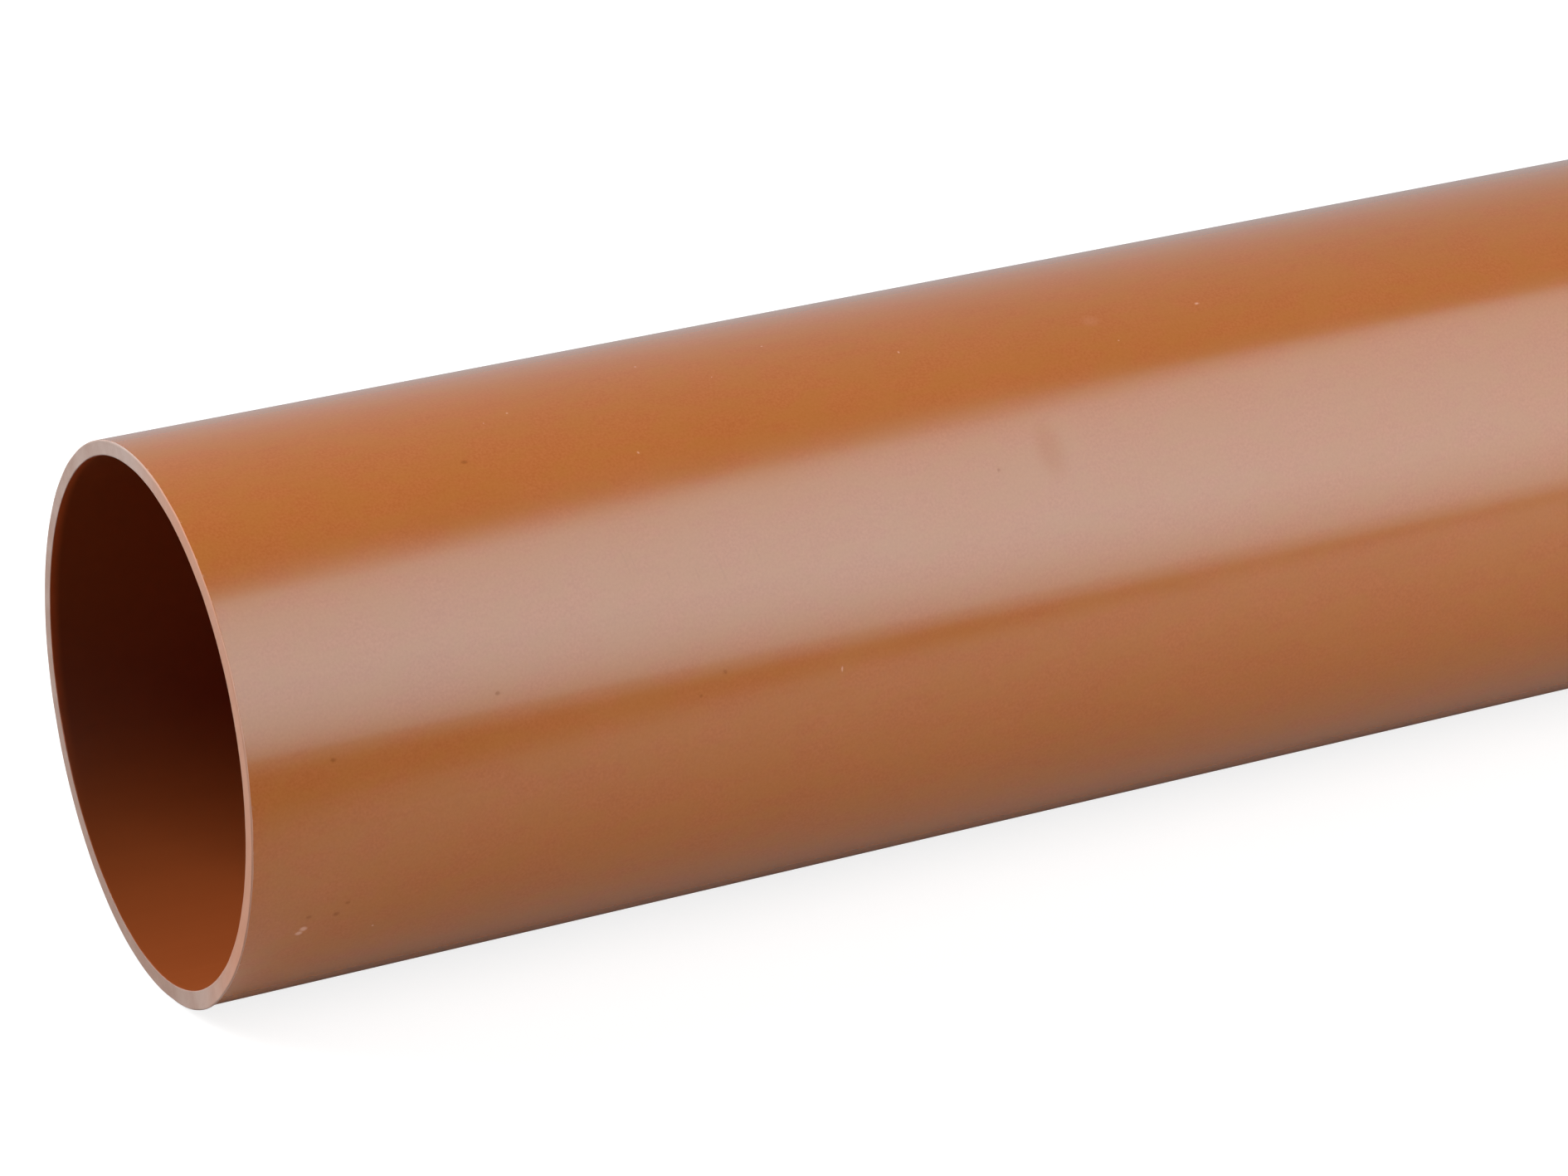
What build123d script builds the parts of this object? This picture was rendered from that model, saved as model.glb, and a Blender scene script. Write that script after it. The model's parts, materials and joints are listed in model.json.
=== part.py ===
from build123d import *
from math import isclose
import os

# Plain-ended PVC drain pipe: one extruded tube, cut square at both ends, with the edges of each cut
# broken so that a ring seal slides over them. It lies along X on the plane Z = 0, and the origin is
# under the middle of its length.

# Driving dimensions, in millimetres
OUTER_DIAMETER = 110.0  # over the outside, which is the size that fittings go by
WALL = 3.2  # extruded wall
LENGTH = 3000.0  # from cut to cut
OUTER_EDGE_BREAK = 0.4  # leg of the 45 degree break on the outer edge of each cut
BORE_EDGE_BREAK = 0.4  # leg of the 45 degree break on the bore edge of each cut

# Worked out from the driving dimensions
OUTER_RADIUS = OUTER_DIAMETER / 2
BORE_RADIUS = OUTER_RADIUS - WALL
AXIS_HEIGHT = OUTER_RADIUS  # the pipe rests on the floor along its lowest line


def make_tube():
    """The extruded ring, from cut to cut, with sharp edges."""
    ring = Circle(OUTER_RADIUS) - Circle(BORE_RADIUS)
    section = Plane.YZ * Pos(0, AXIS_HEIGHT) * ring
    return extrude(section, amount=LENGTH / 2, both=True)


def break_rims(tube, radius, leg):
    """The tube with its round edges of that radius, one at each cut, broken at 45 degrees."""
    circles = tube.edges().filter_by(GeomType.CIRCLE)
    rims = circles.filter_by(lambda edge: isclose(edge.radius, radius))
    return chamfer(rims, leg)


def make_pipe():
    """The tube with its bore rims and its outer rims broken."""
    tube = break_rims(make_tube(), BORE_RADIUS, BORE_EDGE_BREAK)
    return break_rims(tube, OUTER_RADIUS, OUTER_EDGE_BREAK)


PARTS = {"pipe": make_pipe()}

os.makedirs("parts", exist_ok=True)
for name, solid in PARTS.items():
    export_step(solid, f"parts/{name}.step")
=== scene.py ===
import json
import math
from collections import namedtuple

import bpy
import numpy as np
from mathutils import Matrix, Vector


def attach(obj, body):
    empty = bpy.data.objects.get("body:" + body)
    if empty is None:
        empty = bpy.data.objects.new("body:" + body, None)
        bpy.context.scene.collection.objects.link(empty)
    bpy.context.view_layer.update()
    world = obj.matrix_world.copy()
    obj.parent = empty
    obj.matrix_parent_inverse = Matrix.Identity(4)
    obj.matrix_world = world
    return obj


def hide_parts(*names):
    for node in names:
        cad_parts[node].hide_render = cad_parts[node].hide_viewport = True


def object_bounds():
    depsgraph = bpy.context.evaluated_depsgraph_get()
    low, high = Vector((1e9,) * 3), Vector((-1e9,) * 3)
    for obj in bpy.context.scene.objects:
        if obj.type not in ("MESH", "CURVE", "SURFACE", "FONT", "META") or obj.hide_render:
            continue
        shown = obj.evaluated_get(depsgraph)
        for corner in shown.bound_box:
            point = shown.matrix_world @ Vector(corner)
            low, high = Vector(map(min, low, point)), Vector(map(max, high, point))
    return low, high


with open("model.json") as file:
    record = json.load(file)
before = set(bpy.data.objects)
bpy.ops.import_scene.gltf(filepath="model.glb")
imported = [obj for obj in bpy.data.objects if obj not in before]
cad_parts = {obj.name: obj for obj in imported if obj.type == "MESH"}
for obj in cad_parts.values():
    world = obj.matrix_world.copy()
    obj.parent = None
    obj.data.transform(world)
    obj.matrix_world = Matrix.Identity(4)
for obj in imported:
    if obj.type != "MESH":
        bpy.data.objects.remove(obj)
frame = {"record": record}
cad_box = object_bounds()

# The looks of a plain-ended PVC drain pipe: one closed tube mesh with its saw-cut ends, its materials,
# the white stage that it lies on, the studio light and the camera. Lengths are in metres. Level runs
# across the pipe, away from the camera, and angles around the pipe start level on the camera's side.

MM = 0.001

# Sizes of the pipe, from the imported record
MOUNTS = {mount["name"]: mount for mount in frame["record"]["mounts"]}
OUTER_RADIUS = MOUNTS["outside"]["dims"]["r_mm"] * MM
BORE_RADIUS = MOUNTS["bore"]["dims"]["r_mm"] * MM
AXIS_HEIGHT = MOUNTS["bore"]["pos_m"][2]
NEAR_END = MOUNTS["near_end"]["pos_m"][0]
FAR_END = MOUNTS["far_end"]["pos_m"][0]
LENGTH = FAR_END - NEAR_END
HALF_LENGTH = LENGTH / 2

# Camera: its place from the middle of the near end, and where it looks
CAMERA_OFFSET = Vector((-0.35777, -0.9770, 0.5039))
VIEW_TURN = math.radians(63.1)  # from the pipe's axis, in plan
VIEW_DROP = math.radians(24.69)  # below level
FOCAL_PIXELS = 7266.0
FRAME_WIDTH_PIXELS = 1890.0
SENSOR_WIDTH = 36.0  # in millimetres, as the lens is

# Mesh of the pipe
SEGMENTS = 512  # around
FIRST_DEPTH = 0.5 * MM  # of the outside row nearest to a cut
FIRST_ROW = 0.5 * MM  # spacing of the rows from there on
ROW_GROWTH = 1.15
LAST_ROW = 80 * MM  # spacing of the rows halfway along
BORE_ROW_SKIP = 3  # the bore has one row for this many outside
EDGE_STEPS = 4  # faces across a worn edge
EDGE_MIDDLE = math.pi / 4  # the turn halfway round a worn edge
FACE_STEPS = 9  # steps across the wall of a cut
SKIN, SAWN, BORE = range(3)  # the surfaces of the pipe, as material numbers

# Relief of the mesh; orders are the lowest and highest number of waves around the pipe
WAVE_SIZES = (0.3, 1.0)  # of the harmonics in a random wave
OUTER_WEAR = 0.28 * MM  # radius of the worn outer edge of each cut
BORE_WEAR = 0.20 * MM  # and of its bore edge
WEAR_SPREAD = 0.4  # how much that varies around
WEAR_ORDERS = (3, 40)
DIE_LINE_DEPTH = 0.009 * MM  # of the faint ridges that run the length
DIE_LINE_ORDERS = (12, 150)
DIE_LINE_SEED = 11
SAW_MARK_DEPTH = 0.05 * MM
SAW_MARK_PITCH = 2.4 * MM
SAW_MARK_SLANT = math.radians(24)
SAW_RIPPLE_SHARE = 0.6  # of the even ripple in the saw's marks; the rest is the teeth's
TOOTH_ORDERS = (30, 140)
SLANT_REACH = 60 * MM  # the rows behind a slanted cut straighten out over this depth
BORE_DRIFT = 0.2 * MM  # how far the bore has run out of the middle of the wall
BORE_DRIFT_TURN = math.radians(100)
BURR_HEIGHT = 0.45 * MM  # how far the saw's burr stands out from the skin
BURR_DEPTH = 2.3 * MM  # how far along it reaches
BURR_SPAN = math.radians(16)  # half of its way around
BURR_ROUNDING = 0.8  # powers that shape it around and along
BURR_FALL = 1.6
BURR_SPREAD = 0.12  # how ragged it is
BURR_ORDERS = (12, 50)

# Texture map of the pipe, under the name that a bake looks for: the section's outline, unrolled onto strips
MAP_NAME = "OFBake"
MAP_STRIPS = 4
MAP_SCALE = {SKIN: 1.0, SAWN: 6.0, BORE: 0.5}  # the cuts are drawn larger and the bore smaller
MAP_GAP = 0.016  # at either side of a strip, as a share of it
MAP_SEAM = 3 * SEGMENTS // 4  # the segment where the strips are slit, underneath

# The saw cuts: how far each is out of square, the angles around where it is cut back most and has its burr,
# and the first of the seeds for its random waves
Cut = namedtuple("Cut", "place inwards tilt furthest burr seed")
NEAR_CUT = Cut(NEAR_END, 1, math.radians(1.13), math.radians(116), math.radians(-62), 31)
FAR_CUT = Cut(FAR_END, -1, math.radians(0.6), math.radians(-140), math.radians(-38), 21)
OUTER_WAVE, BORE_WAVE, TOOTH_WAVE, BURR_WAVE = range(4)  # which of those seeds each wave has


def smooth_wave(angles, orders, seed):
    """A smooth random curve around the pipe, about -1 to 1, from harmonics between two orders."""
    draw = np.random.default_rng(seed)
    lowest, highest = orders
    harmonics = np.arange(lowest, highest + 1)
    phases = draw.uniform(0, 2 * math.pi, len(harmonics))
    sizes = draw.uniform(*WAVE_SIZES, len(harmonics))
    waves = sizes[:, None] * np.cos(harmonics[:, None] * angles[None, :] + phases[:, None])
    curve = waves.sum(axis=0)
    return curve / np.abs(curve).max()


def row_depths():
    """Distances of the outside rows from a cut, up to the middle of the pipe."""
    depths = [FIRST_DEPTH]
    step = FIRST_ROW
    while depths[-1] + step < HALF_LENGTH - LAST_ROW / 2:
        depths.append(depths[-1] + step)
        step = min(step * ROW_GROWTH, LAST_ROW)
    return depths


def cut_back(cut, angles, depth, radius):
    """How far a slanted cut moves the points of one ring back from the pipe's end."""
    fade = np.clip(1 - depth / SLANT_REACH, 0, 1)
    return fade * math.tan(cut.tilt) * (OUTER_RADIUS + radius * np.cos(angles - cut.furthest))


def burr(cut, angles, depth):
    """How far the saw's burr stands out from the skin, around one ring."""
    edge = math.cos(BURR_SPAN)
    hump = np.clip((np.cos(angles - cut.burr) - edge) / (1 - edge), 0, 1) ** BURR_ROUNDING
    ragged = 1 + BURR_SPREAD * smooth_wave(angles, BURR_ORDERS, cut.seed + BURR_WAVE)
    fade = np.clip(1 - depth / BURR_DEPTH, 0, 1) ** BURR_FALL
    return BURR_HEIGHT * hump * ragged * fade


def saw_marks(cut, angles, radius):
    """How deep the saw has left its marks in a cut, around one ring."""
    level = -radius * np.cos(angles)
    height = radius * np.sin(angles)
    across = level * math.cos(SAW_MARK_SLANT) + height * math.sin(SAW_MARK_SLANT)
    ripple = (1 + np.sin(2 * math.pi * across / SAW_MARK_PITCH)) / 2
    tooth = (1 + smooth_wave(angles, TOOTH_ORDERS, cut.seed + TOOTH_WAVE)) / 2
    return SAW_MARK_DEPTH * (SAW_RIPPLE_SHARE * ripple + (1 - SAW_RIPPLE_SHARE) * tooth)


def worn_edge(cut, angles, radius, wave):
    """Radius of one worn edge of a cut, which varies around."""
    return radius * (1 + WEAR_SPREAD * smooth_wave(angles, WEAR_ORDERS, cut.seed + wave))


def cut_rings(cut, angles, skin, bore):
    """Rings over one cut, from its outer edge to its bore edge, as (depths from the cut, radii, surface)."""
    outer = skin + burr(cut, angles, 0)
    outer_wear = worn_edge(cut, angles, OUTER_WEAR, OUTER_WAVE)
    bore_wear = worn_edge(cut, angles, BORE_WEAR, BORE_WAVE)
    turns = [math.pi / 2 * step / EDGE_STEPS for step in range(EDGE_STEPS + 1)]
    rings = []
    for turn in turns:
        depth = outer_wear * (1 - math.sin(turn))
        rings.append((depth, outer - outer_wear * (1 - math.cos(turn)), SAWN if turn else SKIN))
    for step in range(1, FACE_STEPS):
        share = step / FACE_STEPS
        radius = (outer - outer_wear) * (1 - share) + (bore + bore_wear) * share
        rings.append((saw_marks(cut, angles, radius), radius, SAWN))
    for turn in turns:
        depth = bore_wear * (1 - math.cos(turn))
        surface = BORE if turn > EDGE_MIDDLE else SAWN
        rings.append((depth, bore + bore_wear * (1 - math.sin(turn)), surface))
    return rings


def pipe_rings(angles):
    """Every ring of the closed tube, outside first, as (cut, depths from that cut, radii, surface)."""
    die_lines = DIE_LINE_DEPTH * (1 + smooth_wave(angles, DIE_LINE_ORDERS, DIE_LINE_SEED)) / 2
    skin = OUTER_RADIUS - die_lines
    bore = BORE_RADIUS + die_lines + BORE_DRIFT * np.cos(angles - BORE_DRIFT_TURN)
    depths = row_depths()
    bore_depths = depths[:1] + depths[BORE_ROW_SKIP::BORE_ROW_SKIP]
    rings = [(NEAR_CUT, depth, skin + burr(NEAR_CUT, angles, depth), SKIN) for depth in depths]
    rings += [(FAR_CUT, depth, skin + burr(FAR_CUT, angles, depth), SKIN) for depth in reversed(depths)]
    rings += [(FAR_CUT, *ring) for ring in cut_rings(FAR_CUT, angles, skin, bore)]
    rings += [(FAR_CUT, depth, bore, BORE) for depth in bore_depths]
    rings += [(NEAR_CUT, depth, bore, BORE) for depth in reversed(bore_depths)]
    rings += [(NEAR_CUT, *ring) for ring in reversed(cut_rings(NEAR_CUT, angles, skin, bore))]
    return rings


def lay_flat(mesh, points, surfaces):
    """Gives the tube its texture map: each row of faces runs across a strip, one row after the other."""
    lengths = np.linalg.norm(np.roll(points, -1, axis=0) - points, axis=2).mean(axis=1)
    lengths = lengths * np.array([MAP_SCALE[surface] for surface in surfaces])
    strip_length = lengths.sum() / MAP_STRIPS + lengths.max()
    strip_width = 1 - 2 * MAP_GAP
    turns = (np.arange(SEGMENTS) - MAP_SEAM) % SEGMENTS / SEGMENTS
    corners = np.zeros((len(lengths), SEGMENTS, 4, 2))
    strip = 0
    reach = 0.0
    for row, length in enumerate(lengths):
        if reach + length > strip_length:
            strip += 1
            reach = 0.0
        low = (strip + MAP_GAP + turns * strip_width) / MAP_STRIPS
        high = low + strip_width / MAP_STRIPS / SEGMENTS
        corners[row, :, :2, 0] = reach / strip_length
        corners[row, :, 2:, 0] = (reach + length) / strip_length
        corners[row, :, :, 1] = np.stack([low, high, high, low], axis=-1)
        reach += length
    mesh.uv_layers.new(name=MAP_NAME).uv.foreach_set("vector", corners.ravel())


def make_pipe():
    """The tube as one closed mesh: rings of points joined by quads, round the section and round the tube."""
    angles = np.linspace(0, 2 * math.pi, SEGMENTS, endpoint=False)
    rings = pipe_rings(angles)
    points = np.zeros((len(rings), SEGMENTS, 3))
    from_cut = np.zeros((len(rings), SEGMENTS))
    for row, (cut, depth, radius, _) in enumerate(rings):
        points[row, :, 0] = cut.place + cut.inwards * (depth + cut_back(cut, angles, depth, radius))
        points[row, :, 1] = -radius * np.cos(angles)
        points[row, :, 2] = AXIS_HEIGHT + radius * np.sin(angles)
        from_cut[row] = depth
    numbers = np.arange(len(rings) * SEGMENTS).reshape(len(rings), SEGMENTS)
    after = np.roll(numbers, -1, axis=0)
    quads = np.stack([numbers, np.roll(numbers, -1, axis=1), np.roll(after, -1, axis=1), after], axis=-1)
    surfaces = np.array([surface for *_, surface in rings])
    surfaces = np.maximum(surfaces, np.roll(surfaces, -1))
    mesh = bpy.data.meshes.new("drain_pipe")
    mesh.from_pydata(points.reshape(-1, 3).tolist(), [], quads.reshape(-1, 4).tolist())
    mesh.polygons.foreach_set("material_index", np.repeat(surfaces, SEGMENTS))
    mesh.polygons.foreach_set("use_smooth", np.ones(len(mesh.polygons), bool))
    depths = mesh.attributes.new("from_cut", "FLOAT", "POINT")
    depths.data.foreach_set("value", from_cut.ravel())
    lay_flat(mesh, points, surfaces)
    mesh.update()
    pipe = bpy.data.objects.new("drain_pipe", mesh)
    bpy.context.scene.collection.objects.link(pipe)
    return pipe


# The standard curve between a picture's levels and light: a short straight foot, and a power above it
TOP_LEVEL = 255
CURVE_FOOT = 0.04045
CURVE_FOOT_SLOPE = 12.92
CURVE_SHIFT = 0.055
CURVE_POWER = 2.4


def linear_light(level):
    """The light that one level of a picture stands for, from 0 to 1."""
    share = level / TOP_LEVEL
    if share <= CURVE_FOOT:
        return share / CURVE_FOOT_SLOPE
    return ((share + CURVE_SHIFT) / (1 + CURVE_SHIFT)) ** CURVE_POWER


def colour(red, green, blue):
    """A linear colour from the levels 0 to 255 that a picture shows."""
    return (linear_light(red), linear_light(green), linear_light(blue), 1.0)


# A noise: its scale to a metre, its detail, and how much of its scale it keeps in each direction
Noise = namedtuple("Noise", "scale detail stretch", defaults=[(1.0, 1.0, 1.0)])
NOISE_MIDDLE = 0.5
NOISE_SPREAD = (0.3, 0.7)  # where most of a noise lies

# Sockets of the Mix node for two colours
MIX_SHARE, MIX_FIRST, MIX_SECOND = 0, 6, 7
MIX_RESULT = 2


class Shader:
    """Adds nodes to one material or world, and joins them."""

    def __init__(self, owner):
        owner.use_nodes = True
        self.tree = owner.node_tree
        self.tree.nodes.clear()

    def feed(self, socket, value):
        """Joins another node's output to a socket, or sets the socket to a plain value."""
        if isinstance(value, bpy.types.NodeSocket):
            self.tree.links.new(value, socket)
        else:
            socket.default_value = value

    def node(self, kind, inputs=None, **settings):
        made = self.tree.nodes.new("ShaderNode" + kind)
        for name, value in settings.items():
            setattr(made, name, value)
        for socket, value in (inputs or {}).items():
            self.feed(made.inputs[socket], value)
        return made

    def math(self, operation, *values):
        return self.node("Math", dict(enumerate(values)), operation=operation).outputs[0]

    def vector(self, operation, *values):
        return self.node("VectorMath", dict(enumerate(values)), operation=operation).outputs[0]

    def noise(self, place, pattern, output=0):
        stretched = self.vector("MULTIPLY", place, pattern.stretch)
        inputs = {"Vector": stretched, "Scale": pattern.scale, "Detail": pattern.detail}
        return self.node("TexNoise", inputs).outputs[output]

    def ramp(self, value, start, end, low=0.0, high=1.0):
        """A smooth step from one level to another, as a value goes from start to end."""
        ends = {"Value": value, "From Min": start, "From Max": end, "To Min": low, "To Max": high}
        return self.node("MapRange", ends, interpolation_type="SMOOTHSTEP").outputs[0]

    def stops(self, value, levels):
        """A curve of straight runs through (value, level) pairs, level beyond either end."""
        first, last = levels[0][0], levels[-1][0]
        share = self.node("MapRange", {"Value": value, "From Min": first, "From Max": last}).outputs[0]
        low = min(level for _, level in levels)
        span = max(level for _, level in levels) - low
        made = self.node("ValToRGB", {0: share})
        elements = made.color_ramp.elements
        elements.remove(elements[1])
        for number, (at, level) in enumerate(levels):
            element = elements.new((at - first) / (last - first)) if number else elements[0]
            grey = (level - low) / span
            element.color = (grey, grey, grey, 1.0)
        return self.math("MULTIPLY_ADD", made.outputs[0], span, low)

    def blend(self, share, first, second):
        """A share of one value, and the rest of another."""
        return self.math("MULTIPLY_ADD", first, share, self.math("MULTIPLY", second, 1 - share))

    def mix(self, share, first, second):
        """From the first colour to the second, as the share goes from 0 to 1."""
        inputs = {MIX_SHARE: share, MIX_FIRST: first, MIX_SECOND: second}
        return self.node("Mix", inputs, data_type="RGBA").outputs[MIX_RESULT]


# Colours of the plastic
SKIN_DARK = colour(158, 87, 39)
SKIN_LIGHT = colour(168, 97, 48)
SKIN_GOLD = colour(160, 99, 40)
SPECK_DARK = colour(104, 48, 14)
SPECK_PALE = colour(216, 166, 140)
SMEAR_BROWN = colour(136, 66, 28)
CUT_DARK = colour(172, 140, 126)
CUT_LIGHT = colour(196, 173, 163)
# painted light: the key light's glow through the wall, on one side of each cut
CUT_PAINTED_GLOW = colour(201, 139, 109)
BORE_DARK = colour(150, 74, 35)
BORE_LIGHT = colour(157, 80, 39)
# painted light: the glow of light through the wall, at the bore's edges
BORE_PAINTED_GLOW = colour(232, 122, 62)

# Gloss of the plastic
PVC_INDEX = 1.54  # refractive index
FULL_GLOSS = 0.5  # as the index gives it
GLOSS_TINT = (0.62, 0.92, 1.0, 1.0)  # the gloss is a little cooler than the light


def finish_plastic(shader, base, roughness, height, gloss=FULL_GLOSS):
    """The plastic's own gloss over a base colour, on a relief in millimetres."""
    bump = shader.node("Bump", {"Height": height, "Strength": 1.0, "Distance": MM})
    finish = {"Base Color": base, "Roughness": roughness, "Normal": bump.outputs[0], "IOR": PVC_INDEX,
              "Specular IOR Level": gloss, "Specular Tint": GLOSS_TINT}
    plastic = shader.node("BsdfPrincipled", finish)
    output = shader.node("OutputMaterial")
    shader.feed(output.inputs["Surface"], plastic.outputs[0])


# Skin: its streaks along the length, its mottle, grain and golden patches; relief in millimetres
FINE_STREAKS = Noise(800.0, 3.0, (0.003, 1.0, 1.0))
BROAD_STREAKS = Noise(110.0, 2.0, (0.006, 1.0, 1.0))
MOTTLE = Noise(45.0, 3.0)
GRAIN = Noise(1900.0, 2.0)
PATCHES = Noise(230.0, 3.0, (0.5, 1.0, 1.0))
FINE_SHARE = 0.5  # of the fine streaks among the streaks
MOTTLE_SHARE = 0.4  # of the mottle in the skin's tone
GRAIN_STRENGTH = 2.4
PATCH_SPREAD = (0.35, 0.65)
PATCH_STRENGTH = 0.45
SKIN_ROUGHNESS = (0.185, 0.225)
HAZE_SHARE = 0.5  # of the mottle in the skin's haze; the rest is the broad streaks'
FINE_RELIEF = 0.0015
BROAD_RELIEF = 0.006

# Marks on the skin, as millimetres from the near end, degrees above level, and millimetres along and around
DARK_SPECKS = [(59.9, 68.0, 1.6, 1.2), (51.8, 19.0, 1.1, 0.9), (17.8, 13.0, 1.4, 1.0),
               (163.8, 42.0, 0.9, 0.9), (98.3, 13.6, 1.0, 1.1), (92.8, 9.8, 0.9, 0.8),
               (12.8, -21.5, 1.6, 1.3), (18.5, -22.4, 1.8, 1.4), (20.5, -19.8, 1.3, 1.0)]
PALE_SPECKS = [(73.8, 80.0, 0.5, 0.5), (93.6, 61.8, 0.55, 0.7), (155.8, 75.0, 0.5, 0.7),
               (221.8, 72.0, 1.2, 0.7), (200.8, 66.0, 0.5, 0.4), (122.8, 9.0, 0.5, 1.3),
               (26.8, -29.0, 0.5, 0.5), (11.3, -25.8, 1.7, 1.3), (12.1, -24.8, 1.8, 1.5),
               (1.4, 42.8, 0.45, 1.1), (104.7, 88.2, 0.5, 0.5), (131.3, 86.6, 0.5, 0.5),
               (116.8, 78.7, 0.3, 0.4), (68.1, 78.1, 0.35, 0.35)]
SCRATCHES = [(88.4, 38.5, 0.5, 6.8), (89.8, 38.2, 0.5, 6.0), (106.3, 34.0, 0.6, 7.8),
             (114.6, 36.0, 0.5, 4.2), (101.2, 33.8, 0.5, 4.6), (95.5, 34.5, 0.4, 3.0)]
SMEARS = [(120.8, 4.0, 9.0, 1.8), (200.8, 10.0, 10.0, 1.8), (82.8, 7.4, 2.2, 2.0),
          (175.8, 44.0, 7.0, 14.0), (15.0, -28.0, 1.6, 1.6), (67.8, 28.1, 0.9, 0.9),
          (73.8, 25.0, 0.9, 0.9), (196.0, 11.5, 5.0, 1.2)]
RUBS = [(197.8, 73.0, 4.5, 3.5)]
MARK_EDGE = (0.3, 1.2)  # a mark fades from here to here, as shares of its half size
SCRATCH_LEAN = 0.15  # how far the scratches lean back for each step around
SCRATCH_RELIEF = -0.003
RAGGED = 0.35 * MM  # how far a mark's outline wanders
RAGGED_NOISE = Noise(1600.0, 1.0)

# How strongly the colour of each mark shows
DARK_STRENGTH = 0.42
PALE_STRENGTH = 0.55
SCRATCH_STRENGTH = 0.12
SMEAR_STRENGTH = 0.10
RUB_STRENGTH = 0.06
CHAFE_STRENGTH = 0.3

# Dust lies on the dark specks, and thinner on scratches and smears
DUST_ON_SCRATCH = 0.12
DUST_ON_SMEAR = 0.4
DUST_DULLING = -0.2  # added to the gloss under full dust

# Chafed skin next to the cuts
CHAFE_REACH = (0.1 * MM, 1.0 * MM)
CHAFE_NOISE = Noise(900.0, 3.0)
CHAFE_SPREAD = (0.5, 0.8)
CHAFE_ROUGHNESS = 0.2  # added

# Specks scattered past the stretch that the photograph shows, and at the back
SEEN_LENGTH = (0.34, 0.36)
SEEN_LEVEL = (0.02, 0.03)
SPECK_SCALE = 62.0  # specks to a metre, in each direction
SPECK_SHARE = (0.014, 0.022)  # radius of a speck, as a share of its cell
PALE_ODDS = 0.5  # a speck is pale or dark


def unroll(shader, place):
    """The skin laid flat: along from the near end, and around from level on the camera's side."""
    along, level, height = shader.node("SeparateXYZ", {0: place}).outputs
    rise = shader.math("SUBTRACT", height, AXIS_HEIGHT)
    angle = shader.math("ARCTAN2", rise, shader.math("MULTIPLY", level, -1.0))
    flat = shader.node("CombineXYZ", {0: shader.math("SUBTRACT", along, NEAR_END),
                                      1: shader.math("MULTIPLY", angle, OUTER_RADIUS)})
    return flat.outputs[0]


def marks(shader, flat, ovals):
    """1 on each of some soft-edged oval marks, and 0 elsewhere."""
    nearest = None
    for along, angle, length, width in ovals:
        middle = (along * MM, math.radians(angle) * OUTER_RADIUS, 0.0)
        share = (2 / (length * MM), 2 / (width * MM), 0.0)
        shift = tuple(-at * times for at, times in zip(middle, share))
        fitted = shader.vector("MULTIPLY_ADD", flat, share, shift)
        reach = shader.node("VectorMath", {0: fitted}, operation="LENGTH").outputs["Value"]
        nearest = shader.math("MINIMUM", nearest, reach) if nearest else reach
    return shader.ramp(nearest, *MARK_EDGE, 1.0, 0.0)


def scatter(shader, place, flat):
    """Dark and pale specks where the photograph doesn't reach, as two shares."""
    cells = shader.node("TexVoronoi", {"Vector": place, "Scale": SPECK_SCALE}).outputs
    along = shader.node("SeparateXYZ", {0: flat}).outputs[0]
    level = shader.node("SeparateXYZ", {0: place}).outputs[1]
    unseen = shader.math("MAXIMUM", shader.ramp(along, *SEEN_LENGTH), shader.ramp(level, *SEEN_LEVEL))
    speck = shader.math("MULTIPLY", shader.ramp(cells["Distance"], *SPECK_SHARE, 1.0, 0.0), unseen)
    draw = shader.node("SeparateXYZ", {0: cells["Color"]}).outputs[0]
    pale = shader.math("GREATER_THAN", draw, PALE_ODDS)
    return (shader.math("MULTIPLY", speck, shader.math("SUBTRACT", 1.0, pale)),
            shader.math("MULTIPLY", speck, pale))


SkinMarks = namedtuple("SkinMarks", "dark pale scratch smear rub chafe")


def skin_marks(shader, place):
    """All the marks on the skin, each as a share from 0 to 1."""
    ragged = shader.noise(place, RAGGED_NOISE, "Color")
    centred = shader.vector("SUBTRACT", ragged, (NOISE_MIDDLE, NOISE_MIDDLE, NOISE_MIDDLE))
    wander = shader.node("VectorMath", {0: centred, "Scale": RAGGED}, operation="SCALE").outputs[0]
    flat = shader.vector("ADD", unroll(shader, place), wander)
    around = shader.node("SeparateXYZ", {0: flat}).outputs[1]
    leaning = shader.vector("ADD", flat, shader.vector("MULTIPLY", around, (SCRATCH_LEAN, 0.0, 0.0)))
    far_dark, far_pale = scatter(shader, place, flat)
    from_cut = shader.node("Attribute", attribute_name="from_cut").outputs["Fac"]
    chafe = shader.math("MULTIPLY", shader.ramp(from_cut, *CHAFE_REACH, 1.0, 0.0),
                        shader.ramp(shader.noise(place, CHAFE_NOISE), *CHAFE_SPREAD))
    return SkinMarks(dark=shader.math("MAXIMUM", marks(shader, flat, DARK_SPECKS), far_dark),
                     pale=shader.math("MAXIMUM", marks(shader, flat, PALE_SPECKS), far_pale),
                     scratch=marks(shader, leaning, SCRATCHES),
                     smear=marks(shader, flat, SMEARS),
                     rub=marks(shader, flat, RUBS),
                     chafe=chafe)


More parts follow.
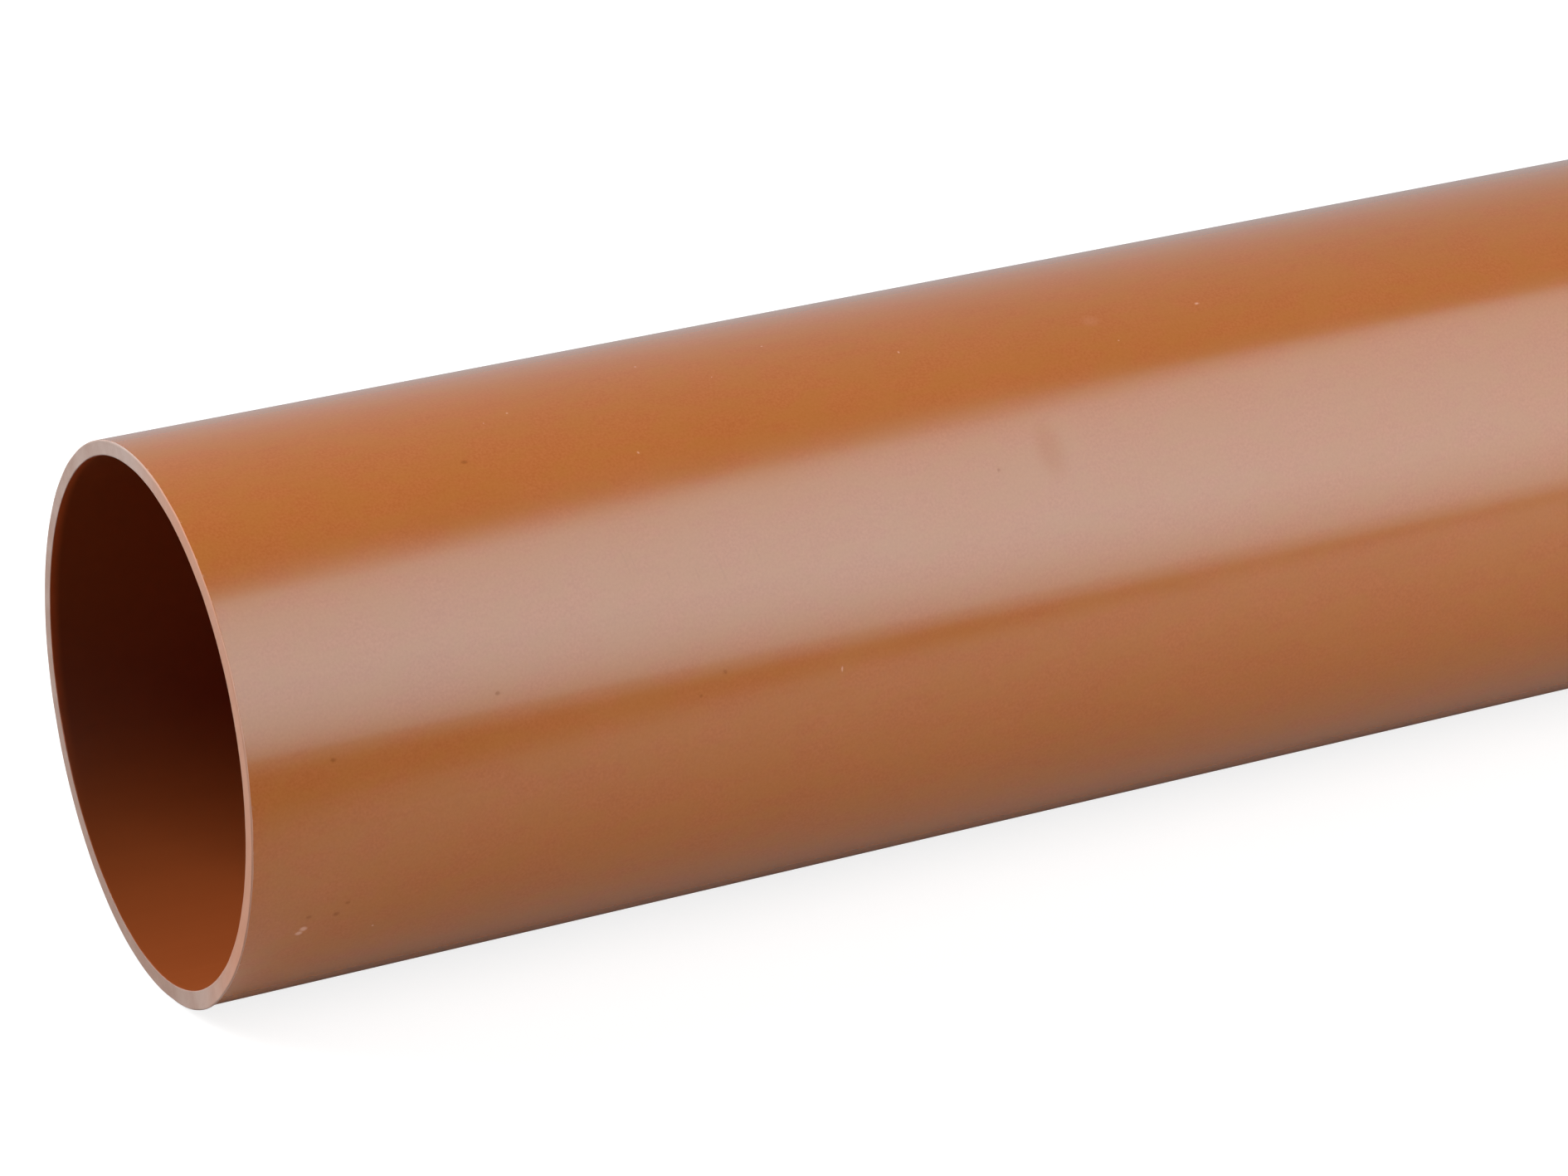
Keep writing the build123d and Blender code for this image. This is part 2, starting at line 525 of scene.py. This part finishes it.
def make_skin():
    """Extruded skin: satin, with faint streaks along the length, fine grain, golden patches and marks."""
    material = bpy.data.materials.new("pvc_skin")
    shader = Shader(material)
    place = shader.node("TexCoord").outputs["Object"]
    fine = shader.noise(place, FINE_STREAKS)
    broad = shader.noise(place, BROAD_STREAKS)
    mottle = shader.noise(place, MOTTLE)
    grain = shader.math("SUBTRACT", shader.noise(place, GRAIN), NOISE_MIDDLE)
    tone = shader.blend(MOTTLE_SHARE, mottle, shader.blend(FINE_SHARE, fine, broad))
    tone = shader.math("MULTIPLY_ADD", grain, GRAIN_STRENGTH, tone)
    patches = shader.ramp(shader.noise(place, PATCHES), *PATCH_SPREAD, 0.0, PATCH_STRENGTH)
    base = shader.mix(patches, shader.mix(tone, SKIN_DARK, SKIN_LIGHT), SKIN_GOLD)
    found = skin_marks(shader, place)
    coats = [(found.smear, SMEAR_STRENGTH, SMEAR_BROWN), (found.rub, RUB_STRENGTH, SPECK_PALE),
             (found.scratch, SCRATCH_STRENGTH, SPECK_DARK), (found.dark, DARK_STRENGTH, SPECK_DARK),
             (found.pale, PALE_STRENGTH, SPECK_PALE), (found.chafe, CHAFE_STRENGTH, CUT_DARK)]
    for share, strength, shade in coats:
        base = shader.mix(shader.math("MULTIPLY", share, strength), base, shade)
    haze = shader.ramp(shader.blend(HAZE_SHARE, mottle, broad), *NOISE_SPREAD, *SKIN_ROUGHNESS)
    roughness = shader.math("MULTIPLY_ADD", found.chafe, CHAFE_ROUGHNESS, haze)
    relief = shader.math("MULTIPLY_ADD", fine, FINE_RELIEF, shader.math("MULTIPLY", broad, BROAD_RELIEF))
    relief = shader.math("MULTIPLY_ADD", found.scratch, SCRATCH_RELIEF, relief)
    dust = shader.math("MAXIMUM", found.dark, shader.math("MULTIPLY", found.scratch, DUST_ON_SCRATCH))
    dust = shader.math("MAXIMUM", dust, shader.math("MULTIPLY", found.smear, DUST_ON_SMEAR))
    gloss = shader.math("MULTIPLY_ADD", dust, DUST_DULLING, FULL_GLOSS)
    finish_plastic(shader, base, roughness, relief, gloss)
    return material


# Cuts: the saw's fine lines, grain and blotches, with painted shade and a painted glow; relief in
# millimetres
SAW_LINES = Noise(2600.0, 2.0, (1.0, 1.0, 0.04))
SAW_GRAIN = Noise(1800.0, 3.0)
SAW_BLOTCHES = Noise(160.0, 3.0)
LINE_TONE = 0.35
GRAIN_TONE = 0.25
BLOTCH_TONE = 0.4
HEIGHT_PAINTED_SHADE = (-0.25, 0.25)  # painted shade, added from the bottom of a cut to its top: darker at the bottom, where less light falls
LEVEL_PAINTED_SHADE = (0.2, -0.4)  # painted shade, added from the camera's side of a cut to its back: darker at the back, away from the key light
LINE_RELIEF = 0.03
GRAIN_RELIEF = 0.02
CUT_ROUGHNESS = 0.6
WARM_TURN = math.radians(18)  # painted light: a cut is warmer on this side, where the key light shines through the wall
WARM_SPREAD = (0.15, 0.70)  # cosines of the angles from there where that starts and is full
WARM_STRENGTH = 0.8


def make_cut():
    """Sawn plastic: pale, rough and blotchy, with the saw's fine lines, painted shade towards the bottom and
    back, and a painted glow on one side.
    """
    material = bpy.data.materials.new("pvc_cut")
    shader = Shader(material)
    place = shader.node("TexCoord").outputs["Object"]
    _, level, height = shader.node("SeparateXYZ", {0: place}).outputs
    turned = shader.node("Mapping", {"Vector": place, "Rotation": (SAW_MARK_SLANT, 0.0, 0.0)}).outputs[0]
    lines = shader.noise(turned, SAW_LINES)
    grain = shader.noise(place, SAW_GRAIN)
    blotches = shader.ramp(shader.noise(place, SAW_BLOTCHES), *NOISE_SPREAD)
    tone = shader.math("MULTIPLY_ADD", lines, LINE_TONE, shader.math("MULTIPLY", grain, GRAIN_TONE))
    tone = shader.math("MULTIPLY_ADD", blotches, BLOTCH_TONE, tone)
    # painted shade: the cut is darker towards its bottom and towards its back
    tone = shader.math("ADD", tone, shader.ramp(height, 0.0, 2 * AXIS_HEIGHT, *HEIGHT_PAINTED_SHADE))
    tone = shader.math("ADD", tone, shader.ramp(level, -OUTER_RADIUS, OUTER_RADIUS, *LEVEL_PAINTED_SHADE))
    base = shader.mix(tone, CUT_DARK, CUT_LIGHT)
    # painted light: a warm glow on the cut's side towards the key light, for light that shines through the
    # wall
    lit = shader.math("MULTIPLY_ADD", height, math.sin(WARM_TURN), -AXIS_HEIGHT * math.sin(WARM_TURN))
    lit = shader.math("MULTIPLY_ADD", level, -math.cos(WARM_TURN), lit)
    lit = shader.math("DIVIDE", lit, OUTER_RADIUS)
    base = shader.mix(shader.ramp(lit, *WARM_SPREAD, 0.0, WARM_STRENGTH), base, CUT_PAINTED_GLOW)
    relief = shader.math("MULTIPLY_ADD", lines, LINE_RELIEF, shader.math("MULTIPLY", grain, GRAIN_RELIEF))
    finish_plastic(shader, base, CUT_ROUGHNESS, relief)
    return material


# Bore: its drag lines and mottle, and a painted glow at its edges, where light shines through the wall;
# relief in millimetres
DRAG_LINES = Noise(260.0, 2.0, (0.003, 1.0, 1.0))
BORE_MOTTLE = Noise(30.0, 2.0)
DRAG_SHARE = 0.5  # of the drag lines in the bore's tone
DRAG_RELIEF = 0.004
BORE_ROUGHNESS = (0.29, 0.34)
BORE_GLOSS = 0.25
GLOW_REACH = (0.0, 2.4 * MM)  # of the painted glow, from a cut
GLOW_HEIGHT = (0.3 * AXIS_HEIGHT, 0.9 * AXIS_HEIGHT)  # where the painted glow starts, above the bottom, and is full
GLOW_STRENGTH = 0.9


def make_bore():
    """Inner skin: duller than the outside, with faint drag lines, and a painted glow next to the cuts, where
    light shines through the wall.
    """
    material = bpy.data.materials.new("pvc_bore")
    shader = Shader(material)
    place = shader.node("TexCoord").outputs["Object"]
    height = shader.node("SeparateXYZ", {0: place}).outputs[2]
    from_cut = shader.node("Attribute", attribute_name="from_cut").outputs["Fac"]
    drag = shader.noise(place, DRAG_LINES)
    mottle = shader.noise(place, BORE_MOTTLE)
    base = shader.mix(shader.blend(DRAG_SHARE, drag, mottle), BORE_DARK, BORE_LIGHT)
    # painted light: the bore lighter next to the cuts, higher up, where light shines in through the lit wall
    painted_glow = shader.math("MULTIPLY", shader.ramp(from_cut, *GLOW_REACH, GLOW_STRENGTH, 0.0),
                          shader.ramp(height, *GLOW_HEIGHT))
    base = shader.mix(painted_glow, base, BORE_PAINTED_GLOW)
    roughness = shader.ramp(mottle, *NOISE_SPREAD, *BORE_ROUGHNESS)
    finish_plastic(shader, base, roughness, shader.math("MULTIPLY", drag, DRAG_RELIEF), BORE_GLOSS)
    return material


# The stage
WHITE = (1.0, 1.0, 1.0, 1.0)
BLACK = (0.0, 0.0, 0.0, 1.0)
SWEEP_LEVEL = 0.60  # the backdrop behind the pipe
SWEEP_COLOUR = (0.70, 0.97, 1.10, 1.0)  # as the gloss shows it, a little cooler than the light
SWEEP_FOOT = (0.03, 0.12)  # where the floor behind the pipe shows in its gloss as the backdrop does
FLOOR_HALF_SIZE = 60.0
FLOOR_CORNERS = [(-1, -1), (1, -1), (1, 1), (-1, 1)]
FLOOR_GLOW = 0.80  # what the floor gives the camera by itself; the light adds the rest
FLOOR_CATCH = (0.30, 0.30, 0.30, 1.0)  # its colour to the camera, which keeps the shadow
ROOM_FLOOR = (0.05, 0.05, 0.05, 1.0)  # its colour to the light that it throws back, beyond the board
BOARD_COLOUR = (0.80, 0.80, 0.80, 1.0)  # and that of the white board in front of the pipe
BOARD_FRONT = (-0.21, -0.05)  # the board's soft front edge at either cut, from none to full
BOARD_SLANT = 1.0  # how much further forward it reaches, for each step along from either cut
BOARD_END = (-0.33, 0.08)  # where it ends at either cut, measured towards the pipe's middle
BOARD_UNDER = (-0.30, -0.06)  # painted shade: where it darkens, towards the pipe
BOARD_SHADE = 0.62  # to this share
BOARD_CONTACT = (-0.036, -0.015)  # painted shade: where it darkens more, right under the pipe
CONTACT_SHADE = 0.35


def board_share(shader, along, level):
    """How much of the white board the floor is, at each place, with painted shade towards the pipe and right
    under it.
    """
    inwards = shader.math("SUBTRACT", HALF_LENGTH, shader.math("ABSOLUTE", along))
    slanted = shader.math("MULTIPLY_ADD", inwards, BOARD_SLANT, level)
    share = shader.math("MULTIPLY", shader.ramp(slanted, *BOARD_FRONT), shader.ramp(inwards, *BOARD_END))
    # painted shade: the board darker towards the pipe, and darker still right under it
    share = shader.math("MULTIPLY", share, shader.ramp(level, *BOARD_UNDER, 1.0, BOARD_SHADE))
    return shader.math("MULTIPLY", share, shader.ramp(level, *BOARD_CONTACT, 1.0, CONTACT_SHADE))


def make_floor_material():
    """White to the camera, with the pipe's shadow; to the pipe, a white board and the backdrop's foot."""
    material = bpy.data.materials.new("white_floor")
    shader = Shader(material)
    path = shader.node("LightPath").outputs
    camera = path["Is Camera Ray"]
    place = shader.node("NewGeometry").outputs["Position"]
    along, level, _ = shader.node("SeparateXYZ", {0: place}).outputs
    board = shader.mix(board_share(shader, along, level), ROOM_FLOOR, BOARD_COLOUR)
    swept = shader.math("MULTIPLY", path["Is Glossy Ray"], shader.ramp(level, *SWEEP_FOOT))
    unlit = shader.mix(swept, board, BLACK)
    matt = shader.node("BsdfDiffuse", {"Color": shader.mix(camera, unlit, FLOOR_CATCH)})
    strength = shader.math("MULTIPLY", camera, FLOOR_GLOW)
    strength = shader.math("MULTIPLY_ADD", swept, SWEEP_LEVEL, strength)
    tint = shader.mix(camera, SWEEP_COLOUR, WHITE)
    glow = shader.node("Emission", {"Color": tint, "Strength": strength})
    both = shader.node("AddShader", {0: matt.outputs[0], 1: glow.outputs[0]})
    output = shader.node("OutputMaterial")
    shader.feed(output.inputs["Surface"], both.outputs[0])
    return material


def make_floor():
    """A wide plain floor under the pipe."""
    mesh = bpy.data.meshes.new("floor")
    corners = [(x * FLOOR_HALF_SIZE, y * FLOOR_HALF_SIZE, cad_box[0].z) for x, y in FLOOR_CORNERS]
    mesh.from_pydata(corners, [], [range(len(corners))])
    mesh.materials.append(make_floor_material())
    floor = bpy.data.objects.new("floor", mesh)
    bpy.context.scene.collection.objects.link(floor)


# Studio light by direction: along is a direction's share along the pipe, and rise its degrees above level
KEY_LEVEL = 5.65  # of the key light, a soft box in front of the pipe
KEY_FOOT = [(0.29, 6.0), (0.36, 2.0), (0.43, 0.0), (0.53, -2.0)]  # rise of its lower edge, by along
KEY_TOP = [(0.29, 63.0), (0.40, 64.5), (0.45, 63.5), (0.53, 60.0)]  # and of its upper edge
KEY_RISE = [(0.0, 0.0), (0.03, 0.50), (0.09, 0.62), (0.19, 0.77), (0.31, 0.90), (0.47, 1.0),
            (0.62, 0.98), (0.78, 0.89), (0.90, 0.80), (0.97, 0.74), (1.0, 0.0)]  # its level, foot to top
KEY_ALONG = [(0.0, 0.0), (0.06, 0.36), (0.14, 0.62), (0.30, 0.79), (0.43, 1.0), (0.53, 0.86),
             (0.68, 0.22), (0.95, 0.15)]  # and by along
KEY_FRONT = (0.0, 0.05)  # it stops just in front of overhead
ROOM_LEVEL = 0.02
SWEEP_FALL = 1.5  # power by which the backdrop darkens as it rises
SWEEP_SIDE = (-0.3, 0.5)  # where it starts and is full, from front to back


def make_light():
    """Soft studio light from all round, and plain white to the camera."""
    world = bpy.data.worlds.new("studio")
    bpy.context.scene.world = world
    shader = Shader(world)
    path = shader.node("LightPath").outputs
    camera = path["Is Camera Ray"]
    unseen = shader.math("SUBTRACT", 1.0, camera)
    towards = shader.node("TexCoord").outputs["Generated"]
    along, level, height = shader.node("SeparateXYZ", {0: towards}).outputs
    rise = shader.math("DEGREES", shader.math("ARCSINE", height))
    front = shader.math("MULTIPLY", level, -1.0)
    foot = shader.stops(along, KEY_FOOT)
    up = shader.math("DIVIDE", shader.math("SUBTRACT", rise, foot),
                     shader.math("SUBTRACT", shader.stops(along, KEY_TOP), foot))
    key = shader.math("MULTIPLY", shader.stops(up, KEY_RISE), shader.stops(along, KEY_ALONG))
    key = shader.math("MULTIPLY", key, shader.ramp(front, *KEY_FRONT))
    light = shader.math("MULTIPLY_ADD", key, KEY_LEVEL, ROOM_LEVEL)
    front_light = shader.math("MULTIPLY_ADD", light, unseen, camera)
    flatness = shader.math("POWER", shader.math("COSINE", shader.math("RADIANS", rise)), SWEEP_FALL)
    sweep = shader.math("MULTIPLY", flatness, shader.ramp(level, *SWEEP_SIDE))
    back_light = shader.math("MULTIPLY", shader.math("MULTIPLY", sweep, SWEEP_LEVEL), unseen)
    tint = shader.mix(path["Is Glossy Ray"], WHITE, SWEEP_COLOUR)
    in_front = shader.node("Background", {"Color": WHITE, "Strength": front_light})
    behind = shader.node("Background", {"Color": tint, "Strength": back_light})
    both = shader.node("AddShader", {0: in_front.outputs[0], 1: behind.outputs[0]})
    output = shader.node("OutputWorld")
    shader.feed(output.inputs["Surface"], both.outputs[0])


# Lamps: where each stands and points, from the floor under the near end, its width, height and power, and
# whether it lights the pipe or only shows in its gloss. The side lamps stand out from either end.
Lamp = namedtuple("Lamp", "name place aim width height power lights")
SIDE_OUT = 1.06
LAMPS = [
    Lamp("fill", (0.80, -0.66, 0.30), (0.45, 0.0, AXIS_HEIGHT), 0.45, 0.45, 2.2, True),
    Lamp("near_side", (-SIDE_OUT, 0.66, 1.05), (0.0, 0.0, AXIS_HEIGHT), 0.97, 0.97, 31.5, True),
    Lamp("far_side", (LENGTH + SIDE_OUT, 0.66, 1.05), (LENGTH, 0.0, AXIS_HEIGHT), 0.97, 0.97, 31.5, True),
    Lamp("back_fill", (HALF_LENGTH, 1.1, 0.30), (HALF_LENGTH, 0.0, AXIS_HEIGHT), 1.2, 0.4, 2.6, True),
    Lamp("front_box", (-8.9, -12.0, 7.4), (-8.9, 0.0, 7.4), 22.4, 12.8, 2100.0, False),
    Lamp("back_box", (2.45, 1.0, 0.95), (2.45, 0.0, 0.95), 1.9, 0.7, 17.0, False),
]


def make_lamp(lamp):
    """One soft lamp or soft box."""
    data = bpy.data.lights.new(lamp.name, "AREA")
    data.shape = "RECTANGLE"
    data.size = lamp.width
    data.size_y = lamp.height
    data.energy = lamp.power
    made = bpy.data.objects.new(lamp.name, data)
    made.location = Vector((NEAR_END, 0.0, 0.0)) + Vector(lamp.place)
    made.rotation_euler = (Vector(lamp.aim) - Vector(lamp.place)).to_track_quat("-Z", "Y").to_euler()
    made.visible_diffuse = lamp.lights
    made.visible_glossy = not lamp.lights
    bpy.context.scene.collection.objects.link(made)


def make_camera():
    """The camera at the photograph's place, with its lens."""
    data = bpy.data.cameras.new("camera")
    data.sensor_width = SENSOR_WIDTH
    data.lens = SENSOR_WIDTH * FOCAL_PIXELS / FRAME_WIDTH_PIXELS
    camera = bpy.data.objects.new("camera", data)
    camera.location = Vector((NEAR_END, 0.0, AXIS_HEIGHT)) + CAMERA_OFFSET
    camera.rotation_euler = (math.pi / 2 - VIEW_DROP, 0.0, VIEW_TURN - math.pi / 2)
    bpy.context.scene.collection.objects.link(camera)
    bpy.context.scene.camera = camera


pipe = make_pipe()
for material in (make_skin(), make_cut(), make_bore()):
    pipe.data.materials.append(material)
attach(pipe, "root")
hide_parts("pipe")

make_floor()
make_light()
for lamp in LAMPS:
    make_lamp(lamp)
make_camera()
bpy.context.scene.view_settings.view_transform = "Standard"
